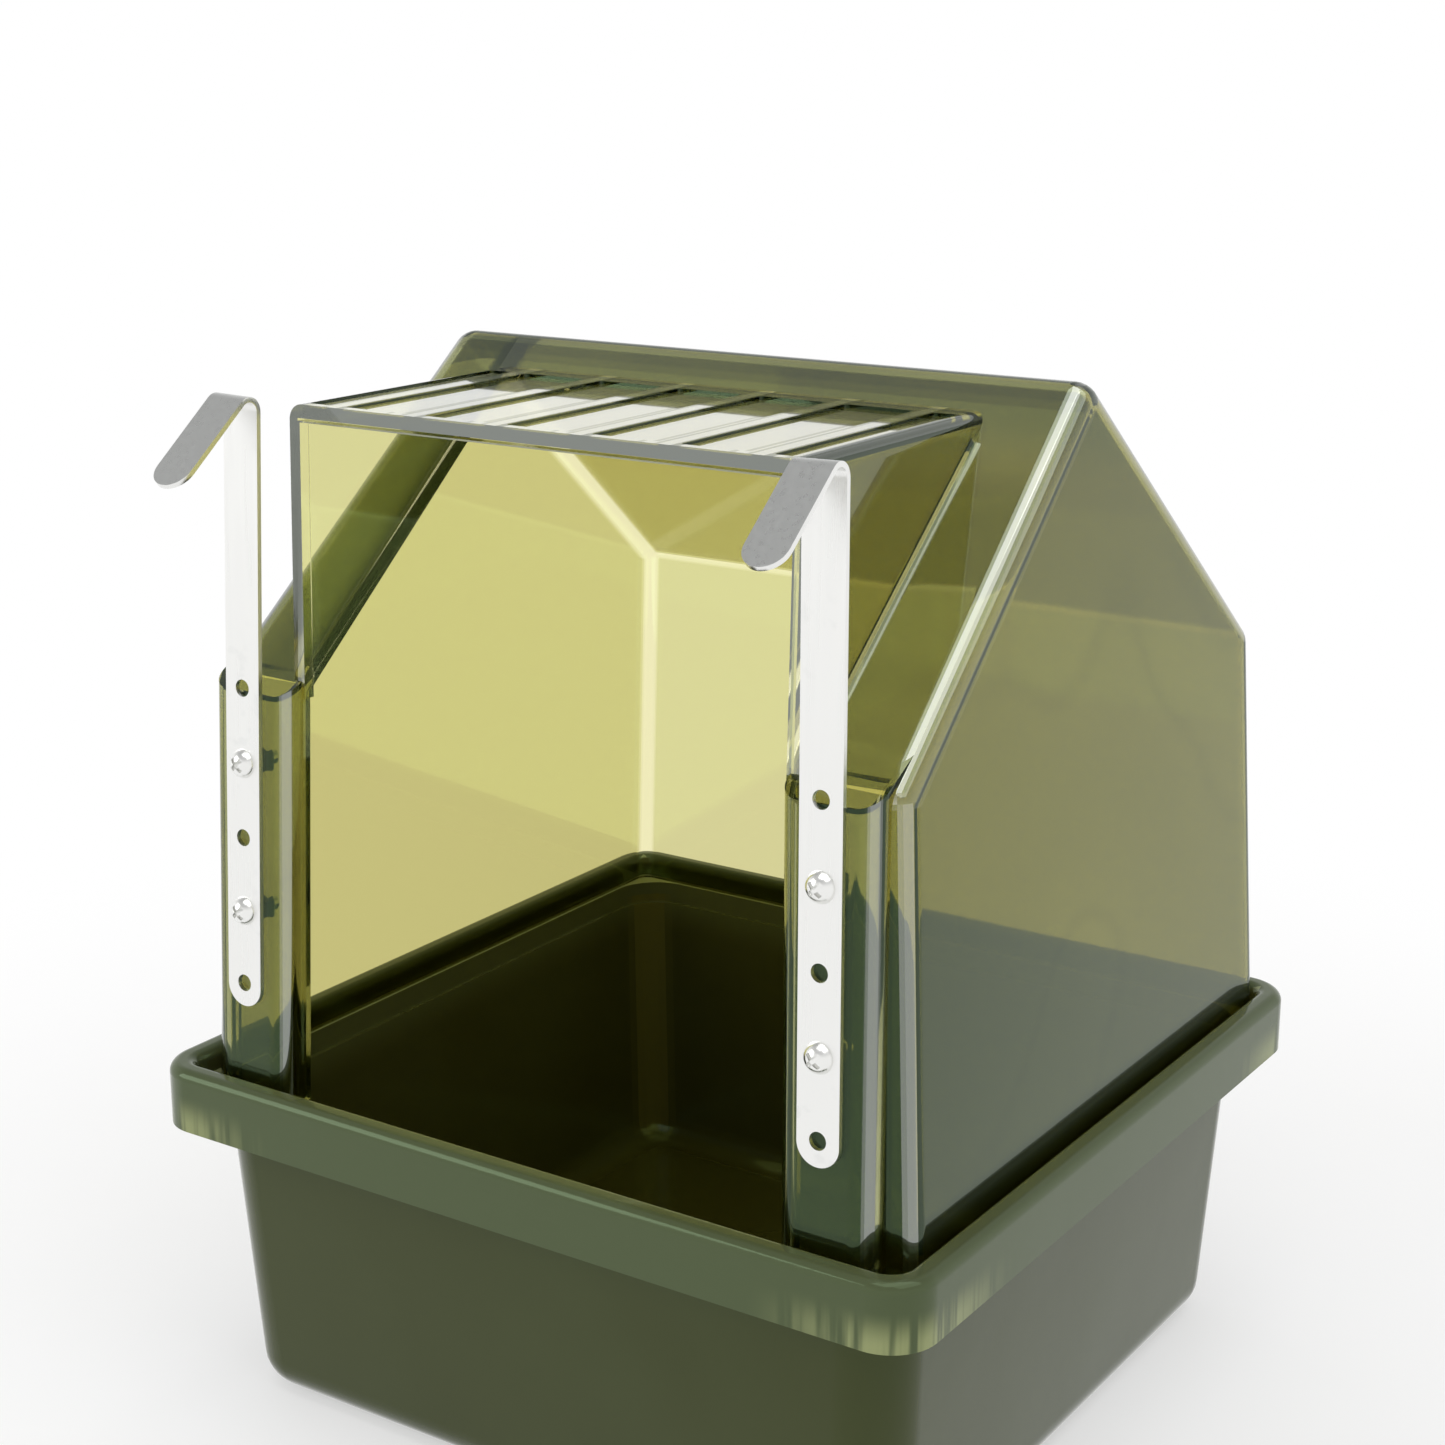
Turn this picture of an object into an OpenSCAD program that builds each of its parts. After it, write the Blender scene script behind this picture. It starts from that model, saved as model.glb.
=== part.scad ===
// Hang-on nesting box for cage birds: a smoked plastic house with a dormer entrance,
// seated in the raised rim of a dark tray and hung from two perforated metal strips.
//
// Millimetres. +X is to the right seen from the front, +Y to the back, +Z up.
// The origin is the centre of the tray's underside.

/* [House] */
// Outer width of the house at its foot
house_w = 165; // [150:1:190]
// Outer depth of the house at its foot, front wall to back wall
house_d = 153; // [140:1:180]
// Height of the eaves above the foot
eave_h = 85; // [80:1:98]
// Slope of both halves of the roof
roof_pitch = 40; // [36:1:44]
// Thickness of the moulded wall
wall_t = 2; // [1.6:0.1:2.6]
// Outer rounding of the moulded edges
edge_r = 5; // [4:0.5:7]
// Draft of the two side walls
side_draft = 3.2; // [1:0.1:4]
// Draft of the front and the back wall
end_draft = 2.1; // [1:0.1:3]

/* [Dormer] */
// Outer width of the dormer
dormer_w = 114; // [104:1:118]
// Height of the dormer's top above the foot
dormer_h = 139.5; // [135:0.5:141]
// Rounding of the dormer's two long top edges
dormer_r = 3; // [2:0.5:4]
// Rounding of the creases where the dormer's cheeks stand on the roof
crease_r = 2; // [1:0.5:3]
// Width of the frame at the dormer's front, down both of its cheeks
frame_w = 2.5; // [2.2:0.1:4]
// Depth of that frame
frame_d = 2.5; // [2.2:0.1:5]
// Height of the bar over the entrance
bar_h = 3.4; // [3.2:0.1:5]
// Number of ribs on the dormer's top
rib_count = 6; // [4:1:8]
// Spacing of the ribs
rib_pitch = 18.8; // [13:0.2:20]
// Width of a rib
rib_w = 4; // [2.5:0.5:6]
// Height of the ribs above the panels between them
rib_h = 0.6; // [0.4:0.1:1.5]
// Width of the plain lip in front of the panels
top_lip = 2; // [1.5:0.5:8]
// Length of the panels between the ribs
panel_l = 54.5; // [40:0.5:58]
// Rounding of the panels' corners
panel_r = 1; // [0.5:0.1:2]

/* [Posts] */
// Width of a post
post_w = 19.5; // [16:0.5:21]
// Distance from the middle of the house to the middle of a post's foot
post_x = 67; // [64:0.5:69]
// Angle at which the posts lean towards each other
post_lean = 1.3; // [0:0.1:2]
// Distance that a post stands out from the front wall
post_out = 5; // [4:0.5:7]
// Height of a post's face above the foot
post_h = 84; // [79:0.5:91]
// Slope of a post's top
post_slope = 30; // [20:1:35]
// Rounding of a post's edges
post_r = 4.5; // [2.5:0.5:5]
// Step from a post's inner side to the edge of the entrance
post_step = 0.4; // [0.2:0.1:1]

/* [Tray] */
// Height of the tray up to the top of its rim
tray_h = 74; // [60:1:110]
// Depth of the seat that the house stands in, below the rim's top
seat_depth = 5; // [3:0.5:8]
// Gap between the house and the wall of its seat
seat_gap = 0.4; // [0.3:0.1:0.8]
// Width of the rim outside the house
rim_w = 6; // [5:0.5:9]
// Height of the rim's outer skirt
skirt_h = 13; // [10:0.5:24]
// Rounding of the rim's top edges
rim_r = 2.2; // [1:0.1:2.2]
// Outer rounding of the rim's corners, seen from above
rim_corner_r = 9.5; // [9:0.5:14]
// Width of the ledge from the wall of the seat to the well
ledge_w = 3; // [2.5:0.5:6]
// Thickness of the tray's walls and floor
tray_t = 2; // [1.6:0.1:3]
// Rounding of the well's corners, seen from above
well_corner_r = 10; // [8:1:24]
// Rounding between the well's walls and its floor
well_floor_r = 6; // [4:0.5:10]
// Draft of the well's walls
well_draft = 3; // [2:0.5:6]
// Depth of the wider top of the well, below the ledge
well_step_depth = 5; // [3:0.5:10]
// Width of the step round the well under that
well_step_w = 1; // [0.5:0.1:2]

/* [Hangers] */
// Width of a hanger strip
strip_w = 8.5; // [7.5:0.5:11]
// Thickness of a hanger strip
strip_t = 1; // [0.8:0.1:1.5]
// Number of holes in a strip
hole_count = 5; // [4:1:6]
// Spacing of the holes
hole_pitch = 15; // [13:0.5:16]
// Diameter of the holes
hole_d = 3.4; // [3.2:0.1:4]
// Height of the lowest hole above the house's foot
hole_first_h = 25; // [19:0.5:29]
// Distance from the lowest hole to the strip's lower end
hole_end = 4.8; // [4.3:0.1:8]
// Height of the hook's top above the house's foot
hook_h = 141.5; // [123:0.5:153]
// Inner radius of the hook's bend
hook_r = 2; // [1.5:0.25:4]
// Angle of the hook's tongue below the horizontal
tongue_angle = 41; // [25:1:60]
// Length of the hook's tongue
tongue_l = 21.5; // [12:0.5:28]

/* [Screws] */
// Diameter of the screw's shank
screw_d = 3; // [2.5:0.5:3]
// Length of the screw under its head
screw_l = 8; // [7:0.5:10]
// Diameter of the screw's head
head_d = 5.8; // [5:0.1:7]
// Height of the screw's head
head_h = 2.2; // [1.6:0.1:2.8]
// Length of the cross recess in the screw's head
recess_l = 3.2; // [2.5:0.1:3.6]
// Width of the recess's arms
recess_w = 0.8; // [0.5:0.1:1]
// Depth of the recess
recess_h = 1.2; // [0.8:0.1:1.4]
// Width across the flats of the nut
nut_af = 5.5; // [5:0.5:6.5]
// Thickness of the nut
nut_t = 2.4; // [2:0.1:2.6]
// Gap round the screw in the post
screw_gap = 0.2; // [0.1:0.05:0.3]

/* [Hidden] */
$fn = 64;

LEFT = -1;
RIGHT = 1;
// Holes, counted from the lowest, that hold a screw
LOWER = 1;
UPPER = 3;

SMOKED = "#73754a";
DARK_OLIVE = "#2b2c16";
ZINC = "#d9d9d4";
// Extra length of cutting bodies and of what is trimmed afterwards
over = 1;
reach = 400;
// Facets of the rounded corners that a hull joins
corner_fn = 32;

// House: the corners of its rounded body lie edge_r inside the faces
foot_z = tray_h - seat_depth;
house_y = post_out / 2;
eave_y = house_d / 2 - eave_h * tan(end_draft);
ridge_h = eave_h + eave_y * tan(roof_pitch);
foot_under = 12;
eave_core_h = eave_h - edge_r * tan((90 - roof_pitch) / 2);
ridge_core_h = ridge_h - edge_r / cos(roof_pitch);

// Dormer
opening_w = dormer_w - 2 * frame_w;
panel_floor_h = dormer_h - rib_h;
plate_under_h = panel_floor_h - wall_t;
frame_under_h = dormer_h - bar_h;
frame_foot_h = eave_h - wall_t;
// The dormer ends inside the roof, ahead of the ridge
dormer_back = (ridge_h - dormer_h) / tan(roof_pitch) / 2;
// Height from which the inner space of the dormer is open to the house
dormer_foot = eave_h / 2;
wall_front_y = -house_d / 2;
plate_front_y = wall_front_y + dormer_h * tan(end_draft);
rib_gap = rib_pitch - rib_w;
rib_side = (rib_count - 1) / 2 * rib_pitch + rib_w / 2;
panel_side_w = dormer_w / 2 - dormer_r - rib_side;

// Tray
seat_w = house_w + 2 * seat_gap;
seat_d = house_d + post_out + 2 * seat_gap;
rim_outer_w = house_w + 2 * rim_w;
rim_outer_d = house_d + post_out + 2 * rim_w;
rim_section_w = rim_w - seat_gap;
well_top_w = seat_w - 2 * ledge_w;
well_top_d = seat_d - 2 * ledge_w;
well_top_r = well_corner_r + well_step_w;
well_step_z = foot_z - well_step_depth;
well_w = well_top_w - 2 * well_step_w;
well_d = well_top_d - 2 * well_step_w;
well_shrink = (well_step_z - well_floor_r) * tan(well_draft);

// Hangers
strip_low_h = hole_first_h - hole_end;
bend_h = hook_h - hook_r - strip_t;
bend_turn = 90 + tongue_angle;

// Frame of a post's face: the children's z runs up the face and -y stands out of it
module on_front(side) {
    translate([side * post_x, house_y + wall_front_y - post_out, foot_z])
        rotate([-end_draft, -side * post_lean, 0])
            children();
}

module on_house() {
    translate([0, house_y, foot_z])
        children();
}

module rounded_square(size, r) {
    union() {
        square([size.x - 2 * r, size.y], center = true);
        square([size.x, size.y - 2 * r], center = true);
        for (x = [-1, 1], y = [-1, 1])
            translate([x * (size.x / 2 - r), y * (size.y / 2 - r)])
                circle(r);
    }
}

// Body of the house, a drafted pentagon with rounded edges, without its floor
module house_body(r) {
    function core_x(h) = house_w / 2 - h * tan(side_draft) - edge_r / cos(side_draft);
    function core_y(h) = house_d / 2 - h * tan(end_draft) - edge_r / cos(end_draft);
    hull()
        for (x = [-1, 1]) {
            for (y = [-1, 1], h = [-foot_under, eave_core_h])
                translate([x * core_x(h), y * core_y(h), h])
                    sphere(r, $fn = corner_fn);
            translate([x * core_x(ridge_core_h), 0, ridge_core_h])
                sphere(r, $fn = corner_fn);
        }
}

// Everything in front of the front wall's outer face
module front_of_wall() {
    translate([0, wall_front_y, 0])
        rotate([-end_draft, 0, 0])
            translate([-reach / 2, -reach, -reach / 2])
                cube(reach);
}

// Dormer as a solid prism with rounded top edges, cut along the front wall's face
module dormer_body() {
    difference() {
        translate([0, dormer_back, 0])
            rotate([90, 0, 0])
                linear_extrude(house_d)
                    intersection() {
                        translate([0, dormer_h - dormer_w / 2])
                            rounded_square([dormer_w, dormer_w], dormer_r);
                        translate([-dormer_w, dormer_foot])
                            square([2 * dormer_w, dormer_h]);
                    }
        front_of_wall();
    }
}

// Fillets in the creases where the dormer's cheeks stand on the roof
module crease_fillets() {
    low = crease_r;
    high = (dormer_h - dormer_r - crease_r - eave_h) / sin(roof_pitch);
    translate([0, -eave_y, eave_h])
        rotate([roof_pitch, 0, 0])
            for (side = [LEFT, RIGHT])
                translate([side * dormer_w / 2, high, 0])
                    rotate([90, 0, 0])
                        linear_extrude(high - low)
                            difference() {
                                square(2 * crease_r, center = true);
                                translate([side * crease_r, crease_r])
                                    circle(crease_r);
                                translate([-side * 2 * crease_r, 0])
                                    square(2 * crease_r, center = true);
                            }
}

// Space under the dormer's top and between its cheeks, behind the entrance frame
module dormer_space() {
    inner_w = dormer_w - 2 * wall_t;
    translate([-inner_w / 2, wall_front_y + frame_d, -foot_under])
        cube([inner_w, house_d / 2 - frame_d - dormer_back, plate_under_h + foot_under]);
}

// Space of the entrance: between the posts, and above them through the dormer's frame
module entrance_space() {
    function half_w(h) = post_x - post_w / 2 - post_step - h * tan(post_lean);
    low = -foot_under;
    high = frame_foot_h;
    translate([0, wall_front_y + house_d / 4, 0])
        rotate([90, 0, 0])
            linear_extrude(reach / 2) {
                polygon([
                    [-half_w(low), low], [half_w(low), low],
                    [half_w(high), high], [-half_w(high), high]
                ]);
                translate([-opening_w / 2, low])
                    square([opening_w, frame_under_h - low]);
            }
}

// Frame round the dormer's front, from the eaves to its top
module entrance_frame() {
    difference() {
        translate([0, wall_front_y, 0])
            rotate([-end_draft, 0, 0])
                translate([-dormer_w / 2, 0, frame_foot_h])
                    cube([dormer_w, frame_d, dormer_h - dormer_r - frame_foot_h]);
        entrance_space();
    }
}

// Sunk panels between the ribs of the dormer's top
module top_panels() {
    front = plate_front_y + top_lip;
    translate([0, front + panel_l / 2, panel_floor_h])
        linear_extrude(rib_h + over) {
            for (i = [1:rib_count - 1])
                translate([(i - rib_count / 2) * rib_pitch, 0])
                    rounded_square([rib_gap, panel_l], panel_r);
            for (side = [LEFT, RIGHT])
                translate([side * (rib_side + panel_side_w / 2), 0])
                    rounded_square([panel_side_w, panel_l], panel_r);
        }
}

// Section of a post from above, with its face at y = 0 and its front corners rounded
module post_section(inset, depth) {
    w = post_w - 2 * inset;
    r = post_r - inset;
    intersection() {
        translate([0, inset + depth])
            rounded_square([w, 2 * depth], r);
        translate([-w, inset])
            square([2 * w, depth]);
    }
}

// Post with a sloping top, inset by the same distance on all sides
module post_form(inset, depth) {
    difference() {
        translate([0, 0, -foot_under])
            linear_extrude(foot_under + ridge_h)
                post_section(inset, depth);
        translate([-post_w, 0, post_h - inset / cos(post_slope)])
            rotate([post_slope, 0, 0])
                translate([0, -reach / 2, 0])
                    cube([2 * post_w, reach, reach]);
    }
}

// Post that carries a hanger, whose sloping top runs out on the roof
module post_body() {
    post_form(0, post_out + house_d / 8);
}

module post_hollow() {
    post_form(wall_t, post_out + wall_t);
}

module post_holes() {
    for (hole = [LOWER, UPPER])
        translate([0, -over, hole_first_h + hole * hole_pitch])
            rotate([-90, 0, 0])
                cylinder(d = screw_d + 2 * screw_gap, h = post_out);
}

module house_shell() {
    color(SMOKED)
        difference() {
            union() {
                on_house() {
                    difference() {
                        union() {
                            house_body(edge_r);
                            dormer_body();
                            crease_fillets();
                        }
                        top_panels();
                    }
                }
                for (side = [LEFT, RIGHT])
                    on_front(side)
                        post_body();
            }
            on_house()
                difference() {
                    union() {
                        house_body(edge_r - wall_t);
                        dormer_space();
                        entrance_space();
                    }
                    entrance_frame();
                }
            for (side = [LEFT, RIGHT])
                on_front(side) {
                    post_hollow();
                    post_holes();
                }
            // The foot is cut level where it stands on the tray's ledge
            translate([-reach / 2, -reach / 2, foot_z - reach])
                cube(reach);
        }
}

// Section of the rim, from the seat's wall at x = 0 out over its top and down the skirt
module rim_section() {
    top = tray_h;
    difference() {
        union() {
            translate([0, foot_z - tray_t])
                square([rim_section_w, seat_depth + tray_t - rim_r]);
            translate([rim_r, top - 2 * rim_r])
                square([rim_section_w - 2 * rim_r, 2 * rim_r]);
            for (x = [rim_r, rim_section_w - rim_r])
                translate([x, top - rim_r])
                    circle(rim_r);
            translate([rim_section_w - tray_t, top - skirt_h])
                square([tray_t, skirt_h - rim_r]);
        }
        // Hollow behind the skirt
        translate([tray_t, top - skirt_h - over])
            square([rim_section_w - 2 * tray_t, skirt_h - tray_t + over]);
    }
}

// Carries a section, whose x = 0 lies on a rectangle, round that rectangle
module carry_round(size, corner_r) {
    half = [size.x / 2 - corner_r, size.y / 2 - corner_r];
    for (turn = [0:3]) {
        run = turn % 2 == 0 ? half.y : half.x;
        side = turn % 2 == 0 ? half.x : half.y;
        rotate(turn * 90) {
            translate([side + corner_r, run, 0])
                rotate([90, 0, 0])
                    linear_extrude(2 * run)
                        children();
            translate([side, run, 0])
                rotate_extrude(angle = 90)
                    translate([corner_r, 0])
                        children();
        }
    }
}

// Well of the tray: drafted walls with round corners and a rounded edge at the floor
module well_body(grow) {
    r = well_corner_r + grow;
    floor_r = well_floor_r + grow;
    top = [well_w / 2 - well_corner_r, well_d / 2 - well_corner_r];
    low = [top.x - well_shrink, top.y - well_shrink];
    hull()
        for (x = [-1, 1], y = [-1, 1]) {
            translate([x * top.x, y * top.y, well_step_z])
                cylinder(r = r, h = over, $fn = corner_fn);
            translate([x * low.x, y * low.y, well_floor_r + tray_t])
                rotate_extrude($fn = corner_fn)
                    translate([r - floor_r, 0])
                        intersection() {
                            circle(floor_r, $fn = corner_fn);
                            translate([0, -floor_r])
                                square([floor_r, 2 * floor_r]);
                        }
        }
}

// Straight-walled top of the well, above its step
module well_top(grow, low, high) {
    translate([0, 0, low])
        linear_extrude(high - low)
            rounded_square([well_top_w + 2 * grow, well_top_d + 2 * grow], well_top_r + grow);
}

module tray() {
    seat_corner_r = rim_corner_r - rim_section_w;
    color(DARK_OLIVE)
        union() {
            carry_round([seat_w, seat_d], seat_corner_r)
                rim_section();
            difference() {
                union() {
                    // Ledge, from under the rim to the well
                    translate([0, 0, foot_z - tray_t])
                        linear_extrude(tray_t)
                            rounded_square([seat_w + tray_t, seat_d + tray_t], seat_corner_r + tray_t / 2);
                    well_top(tray_t, well_step_z - tray_t, foot_z - tray_t / 2);
                    intersection() {
                        well_body(tray_t);
                        translate([-reach / 2, -reach / 2, well_step_z - tray_t / 2 - reach])
                            cube(reach);
                    }
                }
                well_top(0, well_step_z, foot_z + over);
                well_body(0);
            }
        }
}

// Side view of all that lies within r of the bend's axis or behind the strip and the tongue,
// with both of them lengthened by more
module behind_hook(r, more) {
    across = [cos(bend_turn), sin(bend_turn)];
    along = (tongue_l + more) * [-sin(bend_turn), cos(bend_turn)];
    down = [0, strip_low_h - bend_h - more];
    circle(r);
    polygon([down, down + [r, 0], [r, 0], [0, 0], r * across, r * across + along, along]);
}

// Side view of a hanger round the axis of its bend: the strip, the bend and the tongue
module hanger_profile() {
    difference() {
        behind_hook(hook_r + strip_t, 0);
        behind_hook(hook_r, tongue_l);
    }
}

// What is cut off a square end to make it round; the strip's end lies at y = 0
module round_end_cut() {
    translate([-strip_w / 2 - over, -over])
        difference() {
            square([strip_w + 2 * over, strip_w / 2 + over]);
            translate([strip_w / 2 + over, strip_w / 2 + over])
                circle(d = strip_w);
        }
}

module hanger(side) {
    cut = strip_t + 2 * over;
    color(ZINC)
        on_front(side)
            difference() {
                translate([-strip_w / 2, -hook_r - strip_t, bend_h])
                    rotate([90, 0, 90])
                        linear_extrude(strip_w)
                            hanger_profile();
                // Lower end of the strip
                translate([0, over, strip_low_h])
                    rotate([90, 0, 0])
                        linear_extrude(cut)
                            round_end_cut();
                // End of the tongue
                translate([0, -hook_r - strip_t, bend_h])
                    rotate([bend_turn, 0, 0])
                        translate([0, hook_r + strip_t + over, tongue_l])
                            rotate([90, 0, 0])
                                linear_extrude(cut)
                                    mirror([0, 1])
                                        round_end_cut();
                for (hole = [0:hole_count - 1])
                    translate([0, -strip_t - over, hole_first_h + hole * hole_pitch])
                        rotate([-90, 0, 0])
                            cylinder(d = hole_d, h = cut);
            }
}

// Pan-head screw seated on the strip, pointing into the post
module screw(side, hole) {
    color(ZINC)
        on_front(side)
            translate([0, -strip_t, hole_first_h + hole * hole_pitch])
                rotate([-90, 0, 0]) {
                    cylinder(d = screw_d, h = screw_l);
                    rotate([180, 0, 0])
                        pan_head();
                }
}

module pan_head() {
    dome_r = (head_d * head_d / 4 + head_h * head_h) / (2 * head_h);
    difference() {
        rotate_extrude()
            intersection() {
                translate([0, head_h - dome_r])
                    circle(dome_r);
                square([head_d / 2, head_h]);
            }
        for (turn = [0, 90])
            rotate(45 + turn)
                translate([-recess_l / 2, -recess_w / 2, head_h - recess_h])
                    cube([recess_l, recess_w, recess_h + over]);
    }
}

module nut(side, hole) {
    color(ZINC)
        on_front(side)
            translate([0, wall_t, hole_first_h + hole * hole_pitch])
                rotate([-90, 30, 0])
                    difference() {
                        cylinder(d = nut_af / cos(30), h = nut_t, $fn = 6);
                        translate([0, 0, -over])
                            cylinder(d = screw_d, h = nut_t + 2 * over);
                    }
}

house_shell();
tray();
hanger(LEFT);  // hanger_left
hanger(RIGHT);  // hanger_right
screw(LEFT, LOWER);  // screw_left_lower
screw(LEFT, UPPER);  // screw_left_upper
screw(RIGHT, LOWER);  // screw_right_lower
screw(RIGHT, UPPER);  // screw_right_upper
nut(LEFT, LOWER);  // nut_left_lower
nut(LEFT, UPPER);  // nut_left_upper
nut(RIGHT, LOWER);  // nut_right_lower
nut(RIGHT, UPPER);  // nut_right_upper
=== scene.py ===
"""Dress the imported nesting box: smoked plastic house, dark tray, zinc strips and hardware.

Every piece is in metres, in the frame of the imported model: +X right, +Y back, +Z up.
"""

from __future__ import annotations

import logging
import math
from dataclasses import dataclass, field
from enum import Enum
from functools import cached_property, reduce

import bpy
import numpy as np
from mathutils import Euler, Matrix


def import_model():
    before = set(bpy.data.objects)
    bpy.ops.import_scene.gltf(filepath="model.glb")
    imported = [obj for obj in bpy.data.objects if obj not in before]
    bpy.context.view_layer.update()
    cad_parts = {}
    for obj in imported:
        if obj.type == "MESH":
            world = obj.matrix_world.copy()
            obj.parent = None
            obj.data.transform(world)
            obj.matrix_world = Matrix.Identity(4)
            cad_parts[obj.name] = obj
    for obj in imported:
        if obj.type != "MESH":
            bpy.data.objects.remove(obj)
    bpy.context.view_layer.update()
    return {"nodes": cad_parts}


LOG = logging.getLogger("nesting_box")
MM = 0.001

Colour = tuple[float, float, float]
Triple = tuple[float, float, float]
Span = tuple[float, float]
Socket = bpy.types.NodeSocket

WHITE: Colour = (1.0, 1.0, 1.0)
RISING: Span = (0.0, 1.0)
FALLING: Span = (1.0, 0.0)
PLASTIC_IOR = 1.5


class Side(Enum):
    """The two sides of the box, seen from the front."""

    LEFT = -1
    RIGHT = 1

    @property
    def word(self) -> str:
        """The side's name as the nodes spell it."""
        return self.name.lower()


class Level(Enum):
    """The strip holes that hold a screw, counted from 1 at the lowest."""

    LOWER = 2
    UPPER = 4

    @property
    def word(self) -> str:
        """The level's name as the nodes spell it."""
        return self.name.lower()


def rgba(colour: Colour) -> tuple[float, float, float, float]:
    """The colour with full alpha."""
    return (*colour, 1.0)


def set_inputs(node: bpy.types.Node, values: dict[str, object]) -> None:
    """Set inputs of a node to plain values."""
    for name, value in values.items():
        node.inputs[name].default_value = value


class Graph:
    """Short hand for building a node tree."""

    def __init__(self, tree: bpy.types.NodeTree) -> None:
        """Keep the tree that nodes go into."""
        self.tree = tree

    def add(self, kind: str, **settings: object) -> bpy.types.Node:
        """Add a node.

        Args:
            kind: The node's type name.
            **settings: Properties of the node.

        Returns:
            The new node.
        """
        node = self.tree.nodes.new(kind)
        for name, value in settings.items():
            setattr(node, name, value)
        return node

    def place(self, group: bpy.types.NodeTree, values: dict[str, object]) -> bpy.types.Node:
        """Place a shader node group.

        Args:
            group: The group's tree.
            values: Plain values of its inputs.

        Returns:
            The new node.
        """
        node = self.add("ShaderNodeGroup", node_tree=group)
        set_inputs(node, values)
        return node

    def link(self, source: Socket, target: Socket) -> None:
        """Join two sockets."""
        self.tree.links.new(source, target)

    def feed(self, term: object, target: Socket) -> None:
        """Link a socket, or set a plain value."""
        if isinstance(term, bpy.types.NodeSocket):
            self.link(term, target)
        else:
            target.default_value = term

    def math(self, operation: str, *terms: object) -> Socket:
        """Add a math node.

        Args:
            operation: The operation's name.
            *terms: Sockets or numbers.

        Returns:
            The result's socket.
        """
        node = self.add("ShaderNodeMath", operation=operation)
        for place, term in enumerate(terms):
            self.feed(term, node.inputs[place])
        return node.outputs[0]

    def vector(self, operation: str, *terms: object) -> Socket:
        """Add a vector math node.

        Args:
            operation: The operation's name.
            *terms: Sockets or triples.

        Returns:
            The result's socket, the value for DOT_PRODUCT and LENGTH and the vector otherwise.
        """
        node = self.add("ShaderNodeVectorMath", operation=operation)
        for place, term in enumerate(terms):
            self.feed(term, node.inputs[place])
        gives_value = operation in ("DOT_PRODUCT", "LENGTH")
        return node.outputs["Value" if gives_value else "Vector"]

    def scale(self, colour: Socket, factor: Socket) -> Socket:
        """Multiply a colour by a value."""
        result = self.vector("SCALE", colour)
        self.link(factor, result.node.inputs["Scale"])
        return result

    def split(self, vector: Socket) -> list[Socket]:
        """The three parts of a vector."""
        node = self.add("ShaderNodeSeparateXYZ")
        self.link(vector, node.inputs[0])
        return list(node.outputs)

    def mix(self, factor: object, first: object, second: object) -> Socket:
        """Blend two colours.

        Args:
            factor: Share of the second colour, a socket or a number.
            first: Socket or colour at factor 0.
            second: Socket or colour at factor 1.

        Returns:
            The blended colour's socket.
        """
        node = self.add("ShaderNodeMix", data_type="RGBA")
        self.feed(factor, node.inputs["Factor"])
        for name, term in (("A", first), ("B", second)):
            target = next(s for s in node.inputs if s.name == name and s.type == "RGBA")
            self.feed(rgba(term) if isinstance(term, tuple) else term, target)
        return next(s for s in node.outputs if s.type == "RGBA")

    def ramp(self, value: Socket, span: Span, ends: Span = RISING) -> Socket:
        """Map a value smoothly, held at both ends.

        Args:
            value: Socket of the value.
            span: Values at which the change starts and is done.
            ends: Results at the start and when it is done.

        Returns:
            The result's socket.
        """
        node = self.add("ShaderNodeMapRange", interpolation_type="SMOOTHSTEP")
        self.link(value, node.inputs["Value"])
        names = ("From Min", "From Max", "To Min", "To Max")
        set_inputs(node, dict(zip(names, (*span, *ends))))
        return node.outputs[0]

    def band(self, value: Socket, rise: Span, fall: Span) -> Socket:
        """A mask that rises over one span of a value and falls over another."""
        return self.both(self.ramp(value, rise), self.ramp(value, fall, FALLING))

    def over(self, value: Socket, limit: float) -> Socket:
        """1 where a value is above a limit, else 0."""
        return self.math("GREATER_THAN", value, limit)

    def under(self, value: Socket, limit: float) -> Socket:
        """1 where a value is below a limit, else 0."""
        return self.math("LESS_THAN", value, limit)

    def size(self, value: Socket) -> Socket:
        """A value without its sign."""
        return self.math("ABSOLUTE", value)

    def both(self, *masks: object) -> Socket:
        """The product of masks: 1 where all of them are."""
        return reduce(lambda one, two: self.math("MULTIPLY", one, two), masks)

    def either(self, *masks: object) -> Socket:
        """The greatest of masks: 1 where any of them is."""
        return reduce(lambda one, two: self.math("MAXIMUM", one, two), masks)

    def line(self, value: Socket, factor: float, base: object) -> Socket:
        """A value times a factor, added to a base."""
        return self.math("MULTIPLY_ADD", value, factor, base)

    def rest(self, mask: Socket, share: float = 1.0) -> Socket:
        """What is left of 1 after a share of a mask is taken off."""
        return self.line(mask, -share, 1.0)

    def noise(self, vector: Socket, scale: object, detail: float = 2.0) -> Socket:
        """Add a noise texture.

        Args:
            vector: Socket of the place.
            scale: Its scale, a socket or a number.
            detail: How many finer layers it has.

        Returns:
            Socket of the noise, about 0.5 on average.
        """
        node = self.add("ShaderNodeTexNoise", noise_dimensions="3D")
        self.link(vector, node.inputs["Vector"])
        self.feed(scale, node.inputs["Scale"])
        node.inputs["Detail"].default_value = detail
        return node.outputs["Fac"]

    def stretch(self, vector: Socket, scale: Triple, turn: Triple = (0.0, 0.0, 0.0)) -> Socket:
        """Stretch and turn a place.

        Args:
            vector: Socket of the place.
            scale: Factors along the axes.
            turn: Angles about the axes in radians.

        Returns:
            Socket of the new place.
        """
        node = self.add("ShaderNodeMapping")
        set_inputs(node, {"Scale": scale, "Rotation": turn})
        self.link(vector, node.inputs["Vector"])
        return node.outputs["Vector"]

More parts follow.
